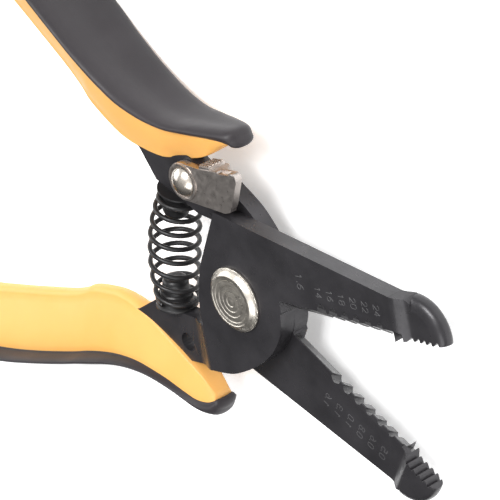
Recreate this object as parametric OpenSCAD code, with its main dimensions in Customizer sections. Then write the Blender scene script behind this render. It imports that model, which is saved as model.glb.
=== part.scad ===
// Scissor-type wire stripper, lying flat with its jaws open.
// Two identical pressed steel halves cross at a riveted pivot. The rear half is the front half
// turned over about the tool's long axis. Frame: +X towards the jaw tips, +Y towards the upper
// jaw, +Z along the pivot. The origin is below the middle of the open tool, on the surface it lies on.
// "Half frame" below: x along the closed tool, pivot at 0,0, jaw on +y, handle on -y, z = 0 at the
// plane where the two halves slide on each other.

/* [Stance] */
// Angle that each half turns from the closed line when the jaws are open
half_open = 16.8; // [15:0.1:17]
// Distance of the pivot ahead of the origin
pivot_x = 28.8; // [20:0.1:40]

/* [Blades] */
// Thickness of the steel plate
plate_t = 3.2; // [3:0.1:3.3]
// Gap between the two sliding faces
slide_gap = 0.04; // [0.02:0.01:0.06]
// How far each cutting edge passes the centre line when closed
edge_over = 0.4; // [0.3:0.05:0.7]
// Height of the cutting bevel on the outer face, above the centre line
bevel_top = 2.1; // [1.6:0.1:2.6]
// Diameters of the stripping notches, from the pivot outwards
notch_d = [1.7, 1.45, 1.25, 1.1, 0.95, 0.85];
// Distance from the pivot to the first notch
notch_x0 = 22.8; // [22:0.1:24]
// Distance between neighbouring notches
notch_pitch = 2.85; // [2.5:0.05:3]
// Where the jaw ends and the slope to the plier nose begins
nose_x = 40.3; // [40:0.1:41]
// Half the gap between the closed nose faces
nose_gap = 0.15; // [0.1:0.05:0.3]
// Number of serration grooves in each nose
tooth_n = 5; // [3:1:5]
// Distance between serration grooves
tooth_pitch = 1.4; // [1.1:0.05:1.4]
// Radius of the hole in each tang
tang_hole_r = 1.75; // [1.5:0.05:2]

/* [Pivot] */
// Radius of the pivot rivet's shank
shank_r = 3.5; // [3:0.1:4]
// Radial running clearance of the pivot and of the lock lever
run_gap = 0.05; // [0.02:0.01:0.08]
// Radius of the pivot rivet's head
head_r = 6; // [5.5:0.1:6.5]
// Height of the pivot rivet's head
head_h = 1.35; // [1.1:0.05:1.6]

/* [Spring] */
// Radius of the spring wire
wire_r = 0.44; // [0.35:0.01:0.5]
// Number of turns of the spring
turns = 8.5; // [7:0.5:9.5]
// Coil radius at the spring's ends, to the middle of the wire
coil_end_r = 3.68; // [3.6:0.01:3.8]
// Coil radius at the spring's middle, to the middle of the wire
coil_mid_r = 4.35; // [4:0.05:4.6]
// Height of each spring seat above its tang
seat_h = 5.6; // [4.5:0.1:5.7]

/* [Lock lever] */
// Thickness of the lever's sheet
sheet_t = 1.4; // [1:0.1:1.4]
// Radius of the lock rivet's domed head
dome_r = 2.75; // [2.6:0.05:2.9]

/* [Handles] */
// Half the width of a grip where the tool lies on it
grip_w = 7.8; // [7.4:0.1:8.2]
// Half the width of a handle core along its straight part
core_w = 5.5; // [5:0.1:5.8]

/* [Hidden] */
$fn = 96;

steel = "#3a3a3e";
plated = "#b9b4aa";
yellow = "#f6bd4f";
black = "#4a464b";

lap = 0.01;                      // how far joined shapes run into each other
hole_at = [-18.3, -12.6];        // hole in the tang, half frame
joggle_x = [-15.3, -10.8];       // the tang's bend towards the middle plane lies between these
jaw_corner = [-1.6, 16];         // corner where the jaw's back meets the plate's rear edge
nose_end_x = nose_x + 3.2;       // end of that slope, where the nose lies in the middle plane
jaw_back_end = [nose_x, 8.3];    // where the jaw's back meets the slope to the nose
nose_at = [42.8, 0.9];           // centre of the round nose
nose_r = 7.1;                    // radius of the round nose
cut_x = [11.8, nose_x];          // the cutting bevel runs between these
edge_z = 0.25;                   // height of the cutting edge's flat above the sliding face
bevel_a = atan2(bevel_top + edge_over, plate_t - edge_z); // slant of the bevel from the pivot's axis
seat_base = [-21.4, -6.4];       // middle of the spring seat's flange on the tang, half frame
seat_lean = 9.5;                 // lean of the seat towards the pivot, from square to the long axis
seat_r = 3.8;                    // radius of the seat's flange
seat_pin = [1, 3];               // radius and length of the seat's pin in the tang
flange_t = 0.9;                  // thickness of the seat's flange
bend = plate_t / 2;              // how far the tang and the nose are set over to the middle plane
washer_t = 1;                    // thickness of the pivot washer
lock_z = bend + 0.3;             // underside of the lock lever, above the middle of its tang
play = 0.04;                     // axial play beside parts that turn

// Points of a Catmull-Rom curve through p, n steps to each span.
function at(p, i) = p[max(0, min(len(p) - 1, i))];
function curve(p, n = 5) = concat(
    [for (i = [0 : len(p) - 2], k = [0 : n - 1])
        let (t = k / n, a = at(p, i - 1), b = p[i], c = p[i + 1], d = at(p, i + 2))
        0.5 * (2 * b + (c - a) * t + (2 * a - 5 * b + 4 * c - d) * t * t
               + (3 * b - a - 3 * c + d) * t * t * t)],
    [p[len(p) - 1]]);
function mirrored(p) = concat(p, [for (i = [len(p) - 1 : -1 : 0]) [p[i][0], -p[i][1]]]);

// ---- placing ----
module in_part() translate([pivot_x, 0, grip_w]) children();
module as_front() in_part() rotate([0, 0, half_open]) children();
// For shapes in the half frame: turns them over, then opens them.
module as_rear() in_part() rotate([0, 0, -half_open]) rotate([180, 0, 0]) children();
// For shapes drawn on the rear half from the front, with its handle on +y.
module on_rear() in_part() rotate([0, 0, -half_open]) children();

// ---- steel halves ----
module plate_outline() polygon(concat(
    [jaw_corner, jaw_back_end, [nose_x + lap, 8.3], [nose_x + lap, nose_gap],
     [nose_x - 0.4, nose_gap], [nose_x - 0.6, -edge_over], [cut_x[0], -edge_over]],
    curve([[11.4, -0.8], [10.9, -3.4], [9.2, -6.6], [6.4, -9.6], [2.6, -12.2], [-1.5, -14.2],
           [-5.5, -15.5], [joggle_x[1], -15.9]]),
    [[joggle_x[1], -7.2]],
    curve([[-10.9, -5], [-10.2, -1], [-8.3, 4.7]], 4)));

module tang_outline() polygon(concat(
    [[joggle_x[1] + 2, -15.9], [joggle_x[0], -16.2], [-20, -16.4], [-28, -16.2]],
    curve([[-38, -14.8], [-60, -17.3], [-76, -19.2]], 4),
    [[-79, -18.4], [-79, -16.6], [-76, -15.6]],
    curve([[-60, -12.6], [-38, -9.8], [-31, -8.6]], 4),
    [seat_base - (seat_r + 0.3) * [cos(seat_lean), -sin(seat_lean)],
     seat_base + (seat_r + 0.3) * [cos(seat_lean), -sin(seat_lean)],
     [joggle_x[0] + 1, -7.2], [joggle_x[1] + 2, -7.2]]));

// Round nose, with its outer edge rounded over more on the outer face than on the other.
module nose() difference() {
    intersection() {
        translate([nose_at[0], nose_at[1], 0]) rotate_extrude() polygon(concat([[0, -bend]],
            curve([[nose_r - 1.1, -bend], [nose_r - 0.35, -bend + 0.35], [nose_r, -0.6], [nose_r, 0.1],
                   [nose_r - 0.35, 0.85], [nose_r - 1.1, 1.35], [nose_r - 2.4, bend]], 3), [[0, bend]]));
        translate([nose_end_x - lap, nose_gap, -plate_t]) cube([10, 10, 2 * plate_t]);
    }
    teeth();
}

// Serration grooves across the nose's face.
module teeth() for (i = [0 : tooth_n - 1])
    translate([nose_x + 2.4 + tooth_pitch * i, nose_gap, -plate_t]) linear_extrude(2 * plate_t)
        polygon([[-0.6, -0.01], [0.45, -0.01], [0.32, 0.62], [0.1, 0.66]]);

// Plate thickness profile along x, set over from `from` to `to` in an S-bend between x0 and x1.
function bend_z(t, from, to) = -from - (to - from) * t * t * (3 - 2 * t);
module set_over(x0, x1, from, to) rotate([90, 0, 0]) translate([0, 0, -30]) linear_extrude(60)
    polygon(concat([for (i = [0 : 6]) [x0 + (x1 - x0) * i / 6, bend_z(i / 6, from, to)]],
                   [for (i = [6 : -1 : 0]) [x0 + (x1 - x0) * i / 6, plate_t + bend_z(i / 6, from, to)]]));

// What the cutting bevel takes off the outer face between two x values.
module cutting_bevel(x0, x1) translate([x0, 0, 0]) rotate([90, 0, 90]) linear_extrude(x1 - x0)
    polygon([[bevel_top, plate_t + 0.1], [-edge_over, edge_z], [-3, edge_z], [-3, plate_t + 0.1]]);

// One half in its half frame.
module half_blade() difference() {
    union() {
        translate([0, 0, slide_gap / 2]) difference() {
            linear_extrude(plate_t) plate_outline();
            // cutting bevel
            cutting_bevel(cut_x[0], cut_x[1]);
        }
        intersection() {
            translate([0, 0, -bend]) linear_extrude(2 * plate_t) tang_outline();
            set_over(joggle_x[0] - lap, joggle_x[1] + lap, bend, 0);
        }
        translate([0, 0, -bend]) linear_extrude(plate_t) intersection() {
            tang_outline();
            translate([-100, -30]) square([100 + joggle_x[0], 40]);
        }
        // slope from the jaw to the nose
        difference() {
            intersection() {
                translate([0, 0, -bend]) linear_extrude(2 * plate_t)
                    polygon([[nose_x - lap, nose_gap], [nose_end_x + lap, nose_gap],
                             [nose_end_x + lap, 6.9], [nose_end_x - 0.9, 7.7], [nose_x - lap, 8.3]]);
                set_over(nose_x - lap, nose_end_x + lap, -slide_gap / 2, bend);
            }
            teeth();
            cutting_bevel(nose_x - 0.1, nose_x + 1.3);
        }
        nose();
    }
    // stripping notches, open towards the cutting edge
    for (i = [0 : len(notch_d) - 1]) translate([notch_x0 + notch_pitch * i, 0, -1]) {
        cylinder(d = notch_d[i], h = 2 * plate_t);
        translate([-notch_d[i] / 2, -2, 0]) cube([notch_d[i], 2, 2 * plate_t]);
        // half-round relief that runs up the cutting bevel
        translate([0, -edge_over, 1 + edge_z]) rotate([-bevel_a, 0, 0]) translate([0, 0, -1])
            cylinder(d = notch_d[i] + 0.5, h = 2 * plate_t);
    }
    translate([hole_at[0], hole_at[1], -plate_t]) cylinder(r = tang_hole_r, h = 2 * plate_t);
    translate([seat_base[0], seat_base[1], 0]) rotate([90, 0, -seat_lean])
        cylinder(r = seat_pin[0] + 0.02, h = seat_pin[1] + 0.05);
}

module front_blade() color(steel) as_front() difference() {
    half_blade();
    translate([0, 0, -1]) cylinder(r = shank_r, h = plate_t + 2);
}

module rear_blade() color(steel) as_rear() difference() {
    half_blade();
    translate([0, 0, -1]) cylinder(r = shank_r + run_gap, h = plate_t + 2);
}

// ---- pivot ----
plate_top = slide_gap / 2 + plate_t;

// Head with a stepped rim and turned rings, shank and riveted-over tail.
module pivot_rivet() color(plated) in_part() rotate_extrude() polygon(concat(
    [[0, -plate_top - play - washer_t - 0.9], [2.6, -plate_top - play - washer_t - 0.9],
     [4.2, -plate_top - play - washer_t - 0.45], [4.4, -plate_top - play - washer_t],
     [shank_r, -plate_top - play - washer_t], [shank_r, plate_top],
     [head_r, plate_top], [head_r, plate_top + 0.4], [head_r - 0.12, plate_top + 0.5],
     [head_r - 0.3, plate_top + 0.52], [head_r - 0.3, plate_top + 0.62],
     [head_r - 1, plate_top + head_h - 0.1], [head_r - 1.15, plate_top + head_h],
     [head_r - 1.4, plate_top + head_h], [head_r - 1.5, plate_top + head_h - 0.1]],
    [for (r = [4, 3, 2, 1], s = [0.16, 0]) [r - 0.3 * (0.16 - s), plate_top + head_h - 0.1 - 0.5 * (0.16 - s)]],
    [[0, plate_top + head_h - 0.1]]));

module pivot_washer() color(plated) in_part()
    translate([0, 0, -plate_top - play - washer_t]) difference() {
        cylinder(r = 5.4, h = washer_t);
        translate([0, 0, -1]) cylinder(r = shank_r, h = washer_t + 2);
    }

// ---- spring and its seats ----
// Turned seat: flange, coned collar for the last coils, step and rounded peg.
module spring_seat() translate([seat_base[0], seat_base[1], 0]) rotate([0, 0, -seat_lean])
    rotate([-90, 0, 0]) rotate_extrude() polygon([
        [0, -seat_pin[1]], [seat_pin[0], -seat_pin[1]], [seat_pin[0], 0], [seat_r, 0], [seat_r, 0.35],
        [3.1, flange_t], [2.95, 2.5], [2.75, 2.75], [2.55, 2.8], [2.35, seat_h - 0.7],
        [2.1, seat_h - 0.25], [1.6, seat_h], [0, seat_h]]);

module upper_spring_seat() color(black) as_rear() spring_seat();
module lower_spring_seat() color(black) as_front() spring_seat();

// The spring's middle line bows away from the pivot, square to both seats at its ends.
seat_mid = [cos(half_open) * seat_base[0] - sin(half_open) * seat_base[1],
            -sin(half_open) * seat_base[0] - cos(half_open) * seat_base[1]];
spring_half = seat_mid[1] - flange_t - wire_r - 0.08;
spring_bow = spring_half * tan(half_open - seat_lean) / 2 + 0.5;
function coil_r(t) = coil_end_r + (coil_mid_r - coil_end_r) * (1 - pow(abs(t), 2.4));
function coil_t(s) = let (e = 0.9 / turns) // the end turns lie closer together
    s < e ? -1 + 0.75 * s * s / e / e * e : s > 1 - e ? 1 - 0.75 * pow((1 - s) / e, 2) * e
    : -1 + 0.75 * e + (s - e) * (2 - 1.5 * e) / (1 - 2 * e);
function coil_at(s) = let (t = coil_t(s), a = 360 * turns * s + 90)
    [seat_mid[0] - 0.9 * sin(half_open) - spring_bow * (1 - t * t) + coil_r(t) * cos(a),
     spring_half * t, coil_r(t) * sin(a)];
ring_n = 14;                     // rings to one turn of wire
side_n = 8;                      // sides of the wire

module compression_spring() color(black) in_part() {
    last = round(ring_n * turns);
    rings = [for (i = [0 : last]) let (
        p = coil_at(i / last), q = coil_at((i + 0.05) / last), r = coil_at((i - 0.05) / last),
        d = (q - r) / norm(q - r), u0 = cross(d, [0, 1, 0]), u = u0 / norm(u0), v = cross(u, d))
        [for (k = [0 : side_n - 1]) p + wire_r * (cos(360 * k / side_n) * u + sin(360 * k / side_n) * v)]];
    polyhedron([for (ring = rings) each ring], concat(
        [[for (k = [0 : side_n - 1]) k]],
        [[for (k = [side_n - 1 : -1 : 0]) last * side_n + k]],
        [for (i = [0 : last - 1], k = [0 : side_n - 1]) let (j = (k + 1) % side_n)
            [i * side_n + j, i * side_n + k, (i + 1) * side_n + k, (i + 1) * side_n + j]]));
}

// ---- lock lever, drawn on the rear half ----
lock_at = [hole_at[0], -hole_at[1]];
thumb = [[-15.9, 17.95], [-8.6, 23.4]];   // outer line of the thumb flange
thumb_a = atan2(thumb[1][1] - thumb[0][1], thumb[1][0] - thumb[0][0]);
thumb_l = norm(thumb[1] - thumb[0]);

module cheek_outline() {
    translate(lock_at) circle(r = 3.5);
    polygon([[-20.1, 15.6], [-15.9, 17.95], thumb[1], [-7.9, 23.3], [-7.3, 22.5], [-6.55, 17.2], [-6.6, 15.7],
             [-7.6, 14.6], [-16.4, 9.65]]);
}

module lock_lever() color(plated) on_rear() difference() {
    union() {
        translate([0, 0, lock_z]) linear_extrude(sheet_t) cheek_outline();
        // raised ring around the rivet
        translate([lock_at[0], lock_at[1], lock_z]) cylinder(r = 3.4, h = sheet_t + 0.25);
        // thumb flange, bent back over the tang and rounded off towards the lever's end
        translate([thumb[0][0], thumb[0][1], lock_z + sheet_t]) rotate([0, 0, thumb_a])
            rotate([90, 0, 0]) linear_extrude(1.2) polygon(concat(
                [[0.2, 0], [0, -0.3], [0, -3.6], [0.4, -4]],
                curve([[3.2, -4], [4.4, -3.5], [5.4, -2.3], [6.4, -1.7], [thumb_l, -1.5]], 4), [[thumb_l, 0]]));
        // thumb pad with cross ribs
        translate([thumb[0][0], thumb[0][1], lock_z + sheet_t]) rotate([0, 0, thumb_a])
            translate([0.2, -0.1, -3.7]) {
                cube([2.8, 0.6, 3.6]);
                for (i = [0 : 4], j = [0 : 4]) translate([0.05 + i * 0.57, 0, 0.08 + j * 0.73])
                    cube([0.33, 0.85, 0.46]);
            }
    }
    translate([lock_at[0], lock_at[1], 0]) cylinder(r = tang_hole_r + run_gap, h = 8);
    // pocket for the rivet's dome
    translate([lock_at[0], lock_at[1], lock_z + sheet_t]) cylinder(r = dome_r + 0.25, h = 2);
    // shallow pressed recess in the thumb flange
    translate([thumb[0][0], thumb[0][1], lock_z + sheet_t]) rotate([0, 0, thumb_a])
        translate([4.9, -0.35, -1.15]) cube([3.2, 1, 2]);
}

module lock_rivet() color(plated) on_rear() translate([lock_at[0], lock_at[1], 0])
    rotate_extrude() union() {
        polygon([[0, -bend - 0.9], [1.6, -bend - 0.9], [2.5, -bend - 0.55], [2.7, -bend], [tang_hole_r, -bend],
                 [tang_hole_r, lock_z + sheet_t + play], [0, lock_z + sheet_t + play]]);
        translate([0, lock_z + sheet_t + play]) intersection() {
            translate([0, 1.45 - 3.33]) circle(r = 3.33);
            square([dome_r, 2]);
        }
    }

module lock_washer() color(plated) on_rear()
    translate([lock_at[0], lock_at[1], bend]) difference() {
        cylinder(r = 3.4, h = lock_z - bend - play);
        translate([0, 0, -1]) cylinder(r = tang_hole_r, h = 2);
    }

// ---- handles, in the half frame ----
inner_line = [[-111.5, -13.4], [-104, -12.6], [-92, -12.9], [-80, -12.4], [-68, -10.8], [-60, -9.5],
              [-52, -8.4], [-47.6, -7.7], [-45, -6.4], [-41, -5.6], [-36, -5.2], [-33, -5.8], [-30.8, -7.4]];
front_line = [[-30.8, -7.4], [-28, -10.2], [-24.5, -13], [-21, -15.5], [-18, -17.8], [-15.4, -20.4], [-13, -23.6]];
seam_line = [[-12.8, -24.3], [-14.5, -24.4], [-17, -23.8], [-20, -22.4], [-24, -20.3], [-28, -18.8], [-32, -18],
             [-36, -17.7], [-40, -17.9], [-48, -19], [-56, -20.4], [-68, -22.4], [-80, -23.6],
             [-92, -23.9], [-102, -23.3], [-108.5, -21.4], [-111.5, -18]];
outer_line = [[-12.4, -24.2], [-12.2, -25.2], [-13.2, -26.6], [-15.5, -27.2], [-18.5, -26.2], [-22, -24], [-26, -21.9],
              [-30, -20.6], [-36, -20.1], [-42, -20.6], [-50, -22], [-60, -24], [-72, -25.9],
              [-84, -26.9], [-96, -26.8], [-106, -25.4], [-112, -21.8], [-114.2, -17.4], [-113.6, -13.8],
              [-111.5, -13.4]];
core_half = [[-112, core_w], [-60, core_w], [-48, core_w - 0.4], [-36, core_w - 0.9], [-28, core_w - 1.2],
             [-24, core_w - 1.6], [-20, core_w - 2.2], [-12, core_w - 2.8]];
grip_half = [[-114.6, grip_w - 1.6], [-112, grip_w - 0.8], [-106, grip_w], [-58, grip_w], [-50, grip_w - 0.2],
             [-40, grip_w - 0.8], [-34, grip_w - 1.1], [-28, grip_w - 1.8], [-22, grip_w - 2.9],
             [-16, grip_w - 3.9], [-12, grip_w - 4.6]];

// Limits a shape's width to the profile given as half widths along x.
module width_of(half) rotate([90, 0, 0]) linear_extrude(40) polygon(mirrored(half));

module handle_core() difference() {
    intersection() {
        translate([0, 0, -10]) linear_extrude(20)
            polygon(concat(curve(inner_line), curve(front_line), curve(seam_line)));
        width_of(core_half);
    }
    translate([0, 0, -bend]) linear_extrude(plate_t) tang_outline();
}

module grip() difference() {
    intersection() {
        translate([0, 0, -10]) linear_extrude(20)
            polygon(concat(curve(outer_line), [for (i = [len(curve(seam_line)) - 1 : -1 : 0]) curve(seam_line)[i]]));
        width_of(grip_half);
    }
}

module lower_handle_core() color(yellow) as_front() handle_core();
module lower_grip() color(black) as_front() grip();
module upper_handle_core() color(yellow) as_rear() handle_core();
module upper_grip() color(black) as_rear() grip();

front_blade();
rear_blade();
pivot_rivet();
pivot_washer();
compression_spring();
upper_spring_seat();
lower_spring_seat();
lock_lever();
lock_rivet();
lock_washer();
upper_handle_core();
upper_grip();
lower_handle_core();
lower_grip();
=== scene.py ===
import math

import bpy
import numpy as np
from mathutils import Matrix, Vector


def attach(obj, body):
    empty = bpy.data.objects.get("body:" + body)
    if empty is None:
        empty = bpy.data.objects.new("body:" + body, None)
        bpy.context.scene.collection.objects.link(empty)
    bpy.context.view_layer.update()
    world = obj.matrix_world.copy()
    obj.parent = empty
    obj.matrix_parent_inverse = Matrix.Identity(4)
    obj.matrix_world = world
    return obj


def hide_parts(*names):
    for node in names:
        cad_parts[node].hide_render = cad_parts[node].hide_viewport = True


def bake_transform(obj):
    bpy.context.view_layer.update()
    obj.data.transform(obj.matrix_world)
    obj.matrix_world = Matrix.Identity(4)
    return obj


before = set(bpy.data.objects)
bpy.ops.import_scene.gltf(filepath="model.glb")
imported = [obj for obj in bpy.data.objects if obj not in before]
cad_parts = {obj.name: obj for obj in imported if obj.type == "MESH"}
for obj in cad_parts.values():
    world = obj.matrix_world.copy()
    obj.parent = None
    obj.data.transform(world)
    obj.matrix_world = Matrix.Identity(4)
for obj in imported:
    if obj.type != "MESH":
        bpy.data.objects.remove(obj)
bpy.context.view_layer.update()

MM = 0.001
OPEN = math.radians(16.8)          # half the opening angle
PIVOT = Vector((28.8, 0, 7.8))     # on the pivot axis, at the plane where the blades slide


def at(side, u, v, z):
    """A point of one half (half frame, mm) in the row frame, in metres."""
    s = 1 if side == "front" else -1
    v, z, a = v * s, z * s, OPEN * s
    x = math.cos(a) * u - math.sin(a) * v
    y = math.sin(a) * u + math.cos(a) * v
    return ((PIVOT.x + x) * MM, (PIVOT.y + y) * MM, (PIVOT.z + z) * MM)


def curve(rows, n):
    """Catmull-Rom through rows of numbers, n steps to a span."""
    r = np.array(rows, float)
    p = np.vstack([r[:1], r, r[-1:]])
    out = []
    for i in range(len(r) - 1):
        a, b, c, d = p[i : i + 4]
        for t in np.arange(n) / n:
            out.append(0.5 * (2 * b + (c - a) * t + (2 * a - 5 * b + 4 * c - d) * t * t
                              + (3 * b - a - 3 * c + d) * t ** 3))
    out.append(r[-1])
    return np.array(out)


# ---------------------------------------------------------------- materials
RING_PITCH = 0.23 * MM             # between the turned rings on the pivot rivet's head


def nodes_of(name):
    m = bpy.data.materials.new(name)
    m.use_nodes = True
    t = m.node_tree
    t.nodes.clear()
    out = t.nodes.new("ShaderNodeOutputMaterial")
    b = t.nodes.new("ShaderNodeBsdfPrincipled")
    t.links.new(b.outputs[0], out.inputs[0])
    return m, t, b


def node(t, kind, sets=(), **props):
    n = t.nodes.new(kind)
    for k, v in props.items():
        setattr(n, k, v)
    for k, v in dict(sets).items():
        n.inputs[k].default_value = v
    return n


def coords(t, scale=(1, 1, 1)):
    c = node(t, "ShaderNodeTexCoord")
    m = node(t, "ShaderNodeMapping", {"Scale": scale})
    t.links.new(c.outputs["Object"], m.inputs["Vector"])
    return m.outputs["Vector"]


def noise(t, vec, scale, detail=4.0, rough=0.55):
    n = node(t, "ShaderNodeTexNoise", {"Scale": scale, "Detail": detail, "Roughness": rough})
    t.links.new(vec, n.inputs["Vector"])
    return n.outputs["Fac"]


def ramp(t, fac, stops):
    n = node(t, "ShaderNodeValToRGB")
    e = n.color_ramp.elements
    while len(e) < len(stops):
        e.new(0.5)
    for i, (p, c) in enumerate(stops):
        e[i].position = p
        e[i].color = (*c, 1) if isinstance(c, tuple) else (c, c, c, 1)
    t.links.new(fac, n.inputs["Fac"])
    return n.outputs["Color"]


def bump(t, b, height, strength, distance, after=None):
    n = node(t, "ShaderNodeBump", {"Strength": strength, "Distance": distance})
    t.links.new(height, n.inputs["Height"])
    if after is not None:
        t.links.new(after, n.inputs["Normal"])
    t.links.new(n.outputs["Normal"], b.inputs["Normal"])
    return n.outputs["Normal"]


def vary(t, b, socket, fac, low, high):
    """Runs one of the shader's inputs from low to high, each (position, value), along a noise."""
    t.links.new(ramp(t, fac, [low, high]), b.inputs[socket])


def steel(name, lo, hi, rough, metallic, grain=1.0):
    """Black oxide steel: cloudy tone, fine grain and faint rolling lines."""
    m, t, b = nodes_of(name)
    b.inputs["Metallic"].default_value = metallic
    b.inputs["Specular IOR Level"].default_value = 0.5
    v = coords(t)
    vary(t, b, "Base Color", noise(t, v, 120, 5), (0.3, lo), (0.7, hi))
    vary(t, b, "Roughness", noise(t, v, 420, 4), (0.25, rough - 0.07), (0.75, rough + 0.1))
    first = bump(t, b, noise(t, v, 5200, 3), 0.22 * grain, 0.00005)
    bump(t, b, noise(t, coords(t, (1, 9, 9)), 260, 3), 0.12 * grain, 0.0001, first)
    return m


def plated(name, lo, hi, rough, rings_at=None):
    """Nickel plate. With rings_at, turned rings round that point of the row frame."""
    m, t, b = nodes_of(name)
    b.inputs["Metallic"].default_value = 1.0
    v = coords(t)
    vary(t, b, "Base Color", noise(t, v, 260, 6, 0.65), (0.3, lo), (0.68, hi))
    vary(t, b, "Roughness", noise(t, v, 900, 4), (0.3, rough - 0.05), (0.75, rough + 0.14))
    if rings_at is None:
        bump(t, b, noise(t, coords(t, (1, 1, 12)), 500, 3), 0.12, 0.0001)
        return m
    c = node(t, "ShaderNodeTexCoord")
    d = node(t, "ShaderNodeVectorMath", operation="SUBTRACT")
    d.inputs[1].default_value = rings_at
    t.links.new(c.outputs["Object"], d.inputs[0])
    flat = node(t, "ShaderNodeVectorMath", operation="MULTIPLY")
    flat.inputs[1].default_value = (1, 1, 0)
    t.links.new(d.outputs[0], flat.inputs[0])
    length = node(t, "ShaderNodeVectorMath", operation="LENGTH")
    t.links.new(flat.outputs[0], length.inputs[0])
    wave = node(t, "ShaderNodeMath", operation="MULTIPLY")
    wave.inputs[1].default_value = 2 * math.pi / RING_PITCH
    t.links.new(length.outputs["Value"], wave.inputs[0])
    sine = node(t, "ShaderNodeMath", operation="SINE")
    t.links.new(wave.outputs[0], sine.inputs[0])
    first = bump(t, b, sine.outputs[0], 0.07, 0.00003)
    bump(t, b, noise(t, v, 900, 4), 0.12, 0.00005, first)
    return m


def plastic(name, lo, hi, rough, skin, specular=0.45, sheen=0.0, subsurface=0.0, flow=0.0):
    """Moulded plastic: slow tone change, a textured skin (scale, strength) and faint flow marks."""
    m, t, b = nodes_of(name)
    b.inputs["Specular IOR Level"].default_value = specular
    b.inputs["Sheen Weight"].default_value = sheen
    b.inputs["Subsurface Weight"].default_value = subsurface
    b.inputs["Subsurface Radius"].default_value = (0.004, 0.0015, 0.0004)
    b.inputs["Subsurface Scale"].default_value = 0.3
    v = coords(t)
    vary(t, b, "Base Color", noise(t, v, 45, 4), (0.3, lo), (0.72, hi))
    vary(t, b, "Roughness", noise(t, v, 160, 4), (0.3, rough - 0.05), (0.75, rough + 0.07))
    first = bump(t, b, noise(t, v, skin[0], 3), skin[1], 0.00006)
    if flow:
        w = node(t, "ShaderNodeTexWave", {"Scale": 40.0, "Distortion": 9.0, "Detail": 3.0}, wave_type="BANDS")
        t.links.new(v, w.inputs["Vector"])
        bump(t, b, w.outputs["Fac"], flow, 0.00012, first)
    return m


M_STEEL = steel("black_oxide_steel", (0.021, 0.020, 0.0225), (0.040, 0.038, 0.042), 0.30, 0.35)
M_WIRE = steel("black_wire", (0.010, 0.010, 0.011), (0.022, 0.021, 0.022), 0.34, 0.3, 0.6)
M_SEAT = steel("black_turned_seat", (0.012, 0.012, 0.013), (0.028, 0.027, 0.028), 0.38, 0.3, 0.6)
# the stamped strokes get a lighter steel tone than the blades: partly painted highlight, standing in for the
# light their raised edges catch
M_MARK = steel("stamped_marks_painted_highlight", (0.062, 0.061, 0.064), (0.11, 0.108, 0.112), 0.5, 0.3)
M_PIVOT = plated("turned_nickel", (0.52, 0.48, 0.43), (0.66, 0.62, 0.55), 0.3, rings_at=tuple(PIVOT * MM))
M_LEVER = plated("nickel_sheet", (0.42, 0.385, 0.36), (0.52, 0.475, 0.445), 0.3)
M_DOME = plated("polished_nickel", (0.50, 0.45, 0.40), (0.72, 0.67, 0.60), 0.22)
M_CORE = plastic("yellow_core", (0.67, 0.345, 0.08), (0.77, 0.40, 0.115), 0.45, (2600, 0.10), subsurface=0.12)
M_GRIP = plastic("dark_grip", (0.017, 0.0145, 0.0165), (0.029, 0.025, 0.028), 0.46, (3400, 0.30),
                 specular=0.28, sheen=0.02, flow=0.08)


# ---------------------------------------------------------------- mesh helpers
def new_mesh(name, verts, faces, mat, body=None, smooth=True):
    me = bpy.data.meshes.new(name)
    me.from_pydata([tuple(v) for v in verts], [], faces)
    me.validate()
    me.update()
    if smooth:
        me.polygons.foreach_set("use_smooth", [True] * len(me.polygons))
    o = bpy.data.objects.new(name, me)
    bpy.context.scene.collection.objects.link(o)
    me.materials.append(mat)
    if body:
        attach(o, body)
    return o


def tube_faces(rings, n):
    """The quads between closed rings of n points."""
    f = []
    for i in range(rings - 1):
        for k in range(n):
            j = (k + 1) % n
            f.append((i * n + k, i * n + j, (i + 1) * n + j, (i + 1) * n + k))
    return f


def loft(name, rings, cap, mat, body, flip=False):
    """Closed rings joined into one skin, with domed ends that stand out by cap = (first, last)."""
    rings = [np.array(r, float) for r in rings]

    def dome(end, before, depth):
        c = end.mean(0)
        d = c - before.mean(0)
        d /= max(np.linalg.norm(d), 1e-9)
        out = []
        for a in (18, 36, 54, 70, 82):
            a = math.radians(a)
            out.append(c + (end - c) * math.cos(a) + d * depth * math.sin(a))
        return out

    first = dome(rings[0], rings[1], cap[0])[::-1]
    last = dome(rings[-1], rings[-2], cap[1])
    rings = first + rings + last
    n = len(rings[0])
    verts = np.vstack(rings)
    faces = tube_faces(len(rings), n)
    faces.append(tuple(range(n))[::-1])
    faces.append(tuple((len(rings) - 1) * n + k for k in range(n)))
    if flip:
        faces = [f[::-1] for f in faces]
    return new_mesh(name, verts, faces, mat, body)


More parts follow.
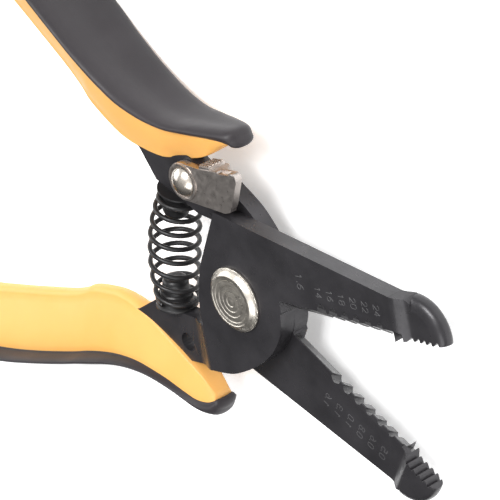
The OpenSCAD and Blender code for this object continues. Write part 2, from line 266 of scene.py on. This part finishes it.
# ---------------------------------------------------------------- handles
# Stations from the guard's tip to the handle's end, in the half frame (mm): inner edge u v, seam u v,
# outer edge u v, half width of the core at the seam, half width of the grip's rim, rounding and half
# width of the core's inner shoulder, share of the guard's shift that the station takes.
STATIONS = [
    (-13.4, -22.4, -13.2, -24.0, -12.6, -25.7, 2.1, 2.7, 0.4, 1.6, 1.0),
    (-14.9, -19.9, -14.7, -24.2, -13.8, -26.8, 2.7, 3.3, 0.5, 2.0, 0.8),
    (-17.2, -17.4, -17.3, -23.6, -16.2, -26.4, 3.1, 4.0, 0.6, 2.2, 0.4),
    (-20.0, -15.0, -20.4, -22.1, -19.8, -24.7, 3.4, 4.6, 0.7, 2.3, 0.15),
    (-23.4, -12.5, -24.0, -20.3, -23.6, -22.7, 3.7, 5.3, 0.9, 2.2, 0.0),
    (-27.3, -10.0, -28.0, -18.9, -27.5, -21.2, 4.0, 5.9, 1.1, 2.0, 0.0),
    (-30.6, -8.4, -31.5, -18.1, -31.5, -20.5, 4.1, 6.4, 1.2, 1.8, 0.0),
    (-33.4, -7.2, -35.0, -17.8, -35.0, -20.2, 4.2, 6.8, 1.3, 1.6, 0.0),
    (-36.8, -6.5, -38.5, -17.9, -38.5, -20.3, 4.3, 7.0, 1.3, 1.5, 0.0),
    (-41.0, -6.6, -42.0, -18.3, -42.0, -20.6, 4.4, 7.2, 1.3, 1.5, 0.0),
    (-45.0, -7.1, -46.0, -19.0, -46.5, -21.2, 4.5, 7.4, 1.3, 1.5, 0.0),
    (-47.8, -8.2, -49.0, -19.7, -50.0, -21.9, 4.6, 7.55, 1.3, 1.5, 0.0),
    (-52.0, -9.3, -54.0, -20.7, -55.0, -22.9, 4.7, 7.65, 1.3, 1.5, 0.0),
    (-60.0, -10.6, -62.0, -22.2, -63.0, -24.4, 4.7, 7.70, 1.3, 1.5, 0.0),
    (-68.0, -11.8, -70.0, -23.4, -71.0, -25.7, 4.7, 7.70, 1.3, 1.5, 0.0),
    (-80.0, -13.3, -81.0, -24.4, -82.0, -26.7, 4.8, 7.70, 1.4, 1.6, 0.0),
    (-92.0, -13.7, -92.0, -24.6, -92.5, -26.8, 4.8, 7.70, 1.4, 1.6, 0.0),
    (-101.0, -13.5, -101.0, -24.0, -102.0, -26.0, 4.8, 7.6, 1.4, 1.7, 0.0),
    (-107.0, -13.5, -107.0, -22.5, -109.0, -23.6, 4.7, 7.2, 1.4, 1.8, 0.0),
    (-110.3, -13.9, -110.2, -19.0, -112.6, -19.6, 4.4, 6.4, 1.2, 2.0, 0.0),
    (-111.2, -14.4, -111.2, -15.8, -113.4, -15.6, 3.8, 5.2, 0.6, 2.2, 0.0),
]
# How far each guard's tip is shifted (u, v), how far its inner edge lags behind in u, how much of the
# grip's thickness its guard keeps, and how far the rounded ends of core and grip stand out.
GUARD = {"front": (-0.2, 0.9, 0.0, 0.62, 0.4, 1.1), "rear": (1.4, -3.0, 1.3, 1.0, 0.5, 1.5)}


def core_section(l, hc, r, h1):
    """Half of the core's section: (distance from the inner edge, half width)."""
    r = min(r, 0.5 * l)
    h1 = min(h1, hc * 0.9)
    pts = []
    for k in range(10):
        a = math.radians(90 * k / 9)
        pts.append((r * (1 - math.cos(a)), h1 * math.sin(a)))
    for k in range(1, 9):
        w = k / 8
        pts.append((r + (l - r) * w, h1 + (hc - h1) * (1 - (1 - w) ** 1.5)))
    pts.append((l + 0.5, hc - 0.1))
    pts.append((l + 0.9, hc - 1.3))
    return pts


def grip_section(hc, hr, full):
    """Half of the grip's section: (share of the way from seam to outer edge, half width). Its shallow
    groove fills up towards the guard's tip, as full goes to 1."""
    rows = [(-0.02, hc - 1.2), (-0.05, hc - 0.12), (0.0, hc + 0.1), (0.08, hc + 0.28),
            (0.22, hc + 0.62 * (hr - hc)), (0.42, hr - 0.02),
            (0.62, hr * (0.99 - 0.07 * full)), (0.82, hr * (0.9 - 0.14 * full)),
            (0.96 + 0.02 * full, hr * (0.74 - 0.18 * full)), (1.0 + 0.05 * full, hr * (0.58 - 0.2 * full)),
            (0.965 + 0.12 * full, hr * (0.36 - 0.12 * full)),
            (0.90 + 0.2 * full, hr * (0.16 - 0.04 * full)), (0.875 + 0.23 * full, 0.0)]
    return curve(rows, 3)


def both(half):
    """A whole section: the half and its mirror image below the middle plane."""
    return list(half) + [(w, -h) for w, h in half[::-1] if abs(h) > 1e-6]


def handle(side, body, core_node, grip_node):
    du, dv, lag, keep, core_cap, grip_cap = GUARD[side]
    core_rings, grip_rings = [], []
    for iu, iv, mu, mv, ou, ov, hc, hr, r, h1, k in curve(STATIONS, 6):
        # near rises towards the guard, where the grip gets thinner, and tip over the guard's last few mm
        near = min(1, max(0, (iu + 46) / 20)) if side == "front" else 0
        near = near * near * (3 - 2 * near)
        tip = min(1, max(0, (iu + 21) / 6))
        share = 1 - (1 - keep) * near * (1 - tip)
        iu, mu, ou = iu + (du - lag) * k, mu + du * k, ou + du * k
        iv, mv, ov = iv + dv * k, mv + dv * k, ov + dv * k
        ou, ov = mu + (ou - mu) * share, mv + (ov - mv) * share
        hr = hc + 0.3 + (hr - hc - 0.3) * share
        if side == "rear":      # a lower shoulder where the lock lever passes over the core
            h1 -= 1.0 * max(0, 1 - ((iu + 20.5) / 4.5) ** 2)
        e = Vector((mu - iu, mv - iv))
        l = e.length
        e.normalize()
        half = core_section(l, hc, r, h1)
        core_rings.append([at(side, iu + e.x * w, iv + e.y * w, h) for w, h in both(half)])
        g = Vector((ou - mu, ov - mv))
        half = grip_section(hc, hr, tip)
        grip_rings.append([at(side, mu + g.x * w, mv + g.y * w, h) for w, h in both(half)])
    core = loft(core_node + "_skin", core_rings, (core_cap * MM, 0.2 * MM), M_CORE, body, flip=True)
    grip = loft(grip_node + "_skin", grip_rings, (grip_cap * MM, 0.5 * MM), M_GRIP, body)
    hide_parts(core_node)
    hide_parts(grip_node)


handle("front", "front_half", "lower_handle_core", "lower_grip")
handle("rear", "rear_half", "upper_handle_core", "upper_grip")

# ---------------------------------------------------------------- spring
WIRE_R = 0.45
TURNS = 8.5
SPRING_X = 10.46                   # the seats' axis
SPRING_Y = 10.84                   # half the height of the coil
END_R = 3.68                       # radius of the end turns
BELLY = 0.72                       # how much wider the middle turns are
BOW = 1.2                          # how far the middle bows back towards the handles


def spring_line(s):
    """The wire's centre at share s of its length, with closed turns at both ends."""
    e = 0.9 / TURNS
    if s < e:
        t = -1 + 0.75 * s * s / e
    elif s > 1 - e:
        t = 1 - 0.75 * (1 - s) ** 2 / e
    else:
        t = -1 + 0.75 * e + (s - e) * (2 - 1.5 * e) / (1 - 2 * e)
    r = END_R + BELLY * (1 - abs(t) ** 2.4)
    a = 2 * math.pi * TURNS * s + math.pi / 2
    x = SPRING_X - BOW * (1 - t * t)
    return Vector((x + r * math.cos(a), SPRING_Y * t, PIVOT.z + r * math.sin(a)))


rings = []
steps = int(TURNS * 32)
for i in range(steps + 1):
    s = i / steps
    p = spring_line(s)
    d = (spring_line(min(1, s + 1e-4)) - spring_line(max(0, s - 1e-4))).normalized()
    a = d.cross(Vector((0, 1, 0))).normalized()
    b = a.cross(d)
    turn = [k * math.pi / 6 for k in range(12)]
    rings.append([(p + WIRE_R * (math.cos(w) * a + math.sin(w) * b)) * MM for w in turn])
spring = loft("compression_spring_wire", rings, (0.05 * MM, 0.05 * MM), M_WIRE, None)
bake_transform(spring)
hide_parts("compression_spring")

# ---------------------------------------------------------------- stamped sizes beside the notches
# Each figure as lines in a box 0.6 wide and 1 high.
STROKES = {
    "0": [[(0, .2), (0, .8), (.15, 1), (.45, 1), (.6, .8), (.6, .2), (.45, 0), (.15, 0), (0, .2)]],
    "1": [[(.1, .8), (.3, 1), (.3, 0)]],
    "2": [[(0, .8), (.15, 1), (.45, 1), (.6, .8), (.6, .6), (0, 0), (.6, 0)]],
    "3": [[(0, .85), (.15, 1), (.45, 1), (.6, .8), (.6, .65), (.45, .52), (.2, .52)],
          [(.45, .52), (.6, .38), (.6, .2), (.45, 0), (.15, 0), (0, .15)]],
    "4": [[(.45, 0), (.45, 1), (0, .3), (.6, .3)]],
    "5": [[(.55, 1), (.05, 1), (0, .55), (.4, .6), (.6, .42), (.6, .2), (.45, 0), (.15, 0), (0, .15)]],
    "6": [[(.5, 1), (.15, .75), (0, .4), (0, .2), (.15, 0), (.45, 0), (.6, .2), (.6, .4), (.45, .55),
           (.15, .55), (0, .4)]],
    "8": [[(.15, .53), (0, .7), (0, .85), (.15, 1), (.45, 1), (.6, .85), (.6, .7), (.45, .53),
           (.15, .53), (0, .35), (0, .15), (.15, 0), (.45, 0), (.6, .15), (.6, .35), (.45, .53)]],
    ".": [[(.2, 0), (.2, .14)]],
}
NOTCH_X0, NOTCH_PITCH = 22.8, 2.85
NOTCH_U = [NOTCH_X0 + NOTCH_PITCH * i for i in range(6)]


def stamp(name, side, body, items, z, lift, width=0.13):
    """Thin raised strokes. The items are (text, u, v, height), read from the jaw's back to its edge."""
    verts, faces = [], []
    for text, cu, cv, h in items:
        run = 0.0
        for ch in text:
            for line in STROKES[ch]:
                pts = [Vector((cu + y * h, cv - (run + x * h))) for x, y in line]
                for p, q in zip(pts, pts[1:]):
                    d = (q - p).normalized()
                    n = Vector((-d.y, d.x)) * width / 2
                    p2, q2 = p - d * width * 0.3, q + d * width * 0.3
                    b0 = len(verts)
                    low = [p2 + n, q2 + n, q2 - n, p2 - n]
                    top = [p2 + n * 0.5, q2 + n * 0.5, q2 - n * 0.5, p2 - n * 0.5]
                    verts += [at(side, v.x, v.y, z) for v in low]
                    verts += [at(side, v.x, v.y, z + lift) for v in top]
                    faces += [(b0 + 4, b0 + 5, b0 + 6, b0 + 7)]
                    faces += [(b0 + k, b0 + (k + 1) % 4, b0 + 4 + (k + 1) % 4, b0 + 4 + k) for k in range(4)]
            run += (0.45 if ch == "." else 0.82) * h
    return new_mesh(name, verts, faces, M_MARK, body, smooth=False)


def sizes(texts, v, slope):
    """Items for stamp: a number behind each notch, along a line that starts at v and falls by slope."""
    return [(t, u - 0.75, v - slope * i, 1.35) for i, (t, u) in enumerate(zip(texts, NOTCH_U))]


FRONT_FACE, REAR_FACE = 3.22, 0.02   # heights that the strokes start from, in the half frame
stamp("front_sizes", "front", "front_half",
      sizes(("14", "16", "18", "20", "22", "24"), 6.6, 0.11) + [("1.6", 17.6, 8.2, 1.5)], FRONT_FACE, 0.05)
stamp("rear_sizes", "rear", "rear_half",
      sizes(("1.6", "1.3", "1.0", "0.8", "0.6", "0.5"), 6.9, 0.14), REAR_FACE, -0.012)

# ---------------------------------------------------------------- CAD metal parts
LOOKS = {
    "front_blade": (M_STEEL, 0.16), "rear_blade": (M_STEEL, 0.16), "pivot_rivet": (M_PIVOT, 0.08),
    "pivot_washer": (M_PIVOT, 0.1), "upper_spring_seat": (M_SEAT, 0.08), "lower_spring_seat": (M_SEAT, 0.08),
    "lock_lever": (M_LEVER, 0.14), "lock_rivet": (M_DOME, 0.06), "lock_washer": (M_LEVER, 0.04),
}
for name, (mat, width) in LOOKS.items():
    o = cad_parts[name]
    o.data.materials.clear()
    o.data.materials.append(mat)
    o.data.polygons.foreach_set("use_smooth", [True] * len(o.data.polygons))
    w = o.modifiers.new("weld", "WELD")
    w.merge_threshold = 2e-6
    bv = o.modifiers.new("edges", "BEVEL")
    bv.width = width * MM
    bv.segments = 3
    bv.limit_method = "ANGLE"
    bv.angle_limit = math.radians(32)
    bv.use_clamp_overlap = True
    bv.harden_normals = True
    n = o.modifiers.new("normals", "WEIGHTED_NORMAL")
    n.keep_sharp = True
    n.weight = 80

# ---------------------------------------------------------------- floor, light, camera
fm, ft, fb = nodes_of("floor_paper")
floor = new_mesh("floor", [(-3, -3, 0), (3, -3, 0), (3, 3, 0), (-3, 3, 0)], [(0, 1, 2, 3)], fm, smooth=False)
vary(ft, fb, "Base Color", noise(ft, coords(ft), 8, 3), (0.3, (0.90, 0.90, 0.90)), (0.7, (0.93, 0.93, 0.93)))
fb.inputs["Roughness"].default_value = 0.9
fb.inputs["Emission Color"].default_value = (1, 1, 1, 1)
fb.inputs["Emission Strength"].default_value = 0.38
floor.location = (0, 0, -0.00002)

world = bpy.data.worlds.new("studio")
bpy.context.scene.world = world
world.use_nodes = True
# a soft dome: bright above and behind the upper handle, dim low down on the handles' side
wt = world.node_tree
wc = node(wt, "ShaderNodeTexCoord")
wd = node(wt, "ShaderNodeVectorMath", operation="DOT_PRODUCT")
wd.inputs[1].default_value = (0.28, 0.72, 0.63)
wt.links.new(wc.outputs["Generated"], wd.inputs[0])
wm = node(wt, "ShaderNodeMath", operation="MULTIPLY_ADD")
wm.inputs[1].default_value = 0.5
wm.inputs[2].default_value = 0.5
wt.links.new(wd.outputs["Value"], wm.inputs[0])
sky = wt.nodes["Background"]
wt.links.new(ramp(wt, wm.outputs[0], [(0.25, 0.10), (0.5, 0.34), (0.85, 1.0)]), sky.inputs["Color"])
sky.inputs["Strength"].default_value = 0.8


def area(name, pos, aim, size, power, colour=(1, 1, 1)):
    l = bpy.data.lights.new(name, "AREA")
    l.shape = "RECTANGLE"
    l.size, l.size_y = size
    l.energy = power
    l.color = colour
    o = bpy.data.objects.new(name, l)
    bpy.context.scene.collection.objects.link(o)
    o.location = pos
    o.rotation_mode = "QUATERNION"
    o.rotation_quaternion = (Vector(aim) - Vector(pos)).to_track_quat("-Z", "Y")
    return o


AIM = (0.02, 0, 0.008)
area("key", (0.05, 0.72, 0.88), AIM, (0.6, 0.4), 13.5)
area("fill", (0.75, -0.35, 0.9), AIM, (0.8, 0.8), 6)
area("back", (-0.8, 0.1, 0.5), AIM, (0.6, 0.6), 4)

AZ, EL, ROLL = math.radians(43.01), math.radians(34.55), math.radians(-116.55)
d = Vector((math.cos(EL) * math.cos(AZ), math.cos(EL) * math.sin(AZ), math.sin(EL)))
right = Vector((0, 0, 1)).cross(d).normalized()
up = d.cross(right)
r = math.cos(ROLL) * right + math.sin(ROLL) * up
u = -math.sin(ROLL) * right + math.cos(ROLL) * up
cam_data = bpy.data.cameras.new("camera")
cam_data.sensor_width = 36
cam_data.lens = 249.7
cam_data.clip_start, cam_data.clip_end = 0.01, 20
cam = bpy.data.objects.new("camera", cam_data)
bpy.context.scene.collection.objects.link(cam)
cam.rotation_mode = "QUATERNION"
cam.rotation_quaternion = Matrix((r, u, d)).transposed().to_quaternion()
cam.location = PIVOT * MM + 0.6 * d + 0.00729 * u + 0.00009 * r
bpy.context.scene.camera = cam
bpy.context.scene.view_settings.view_transform = "Standard"
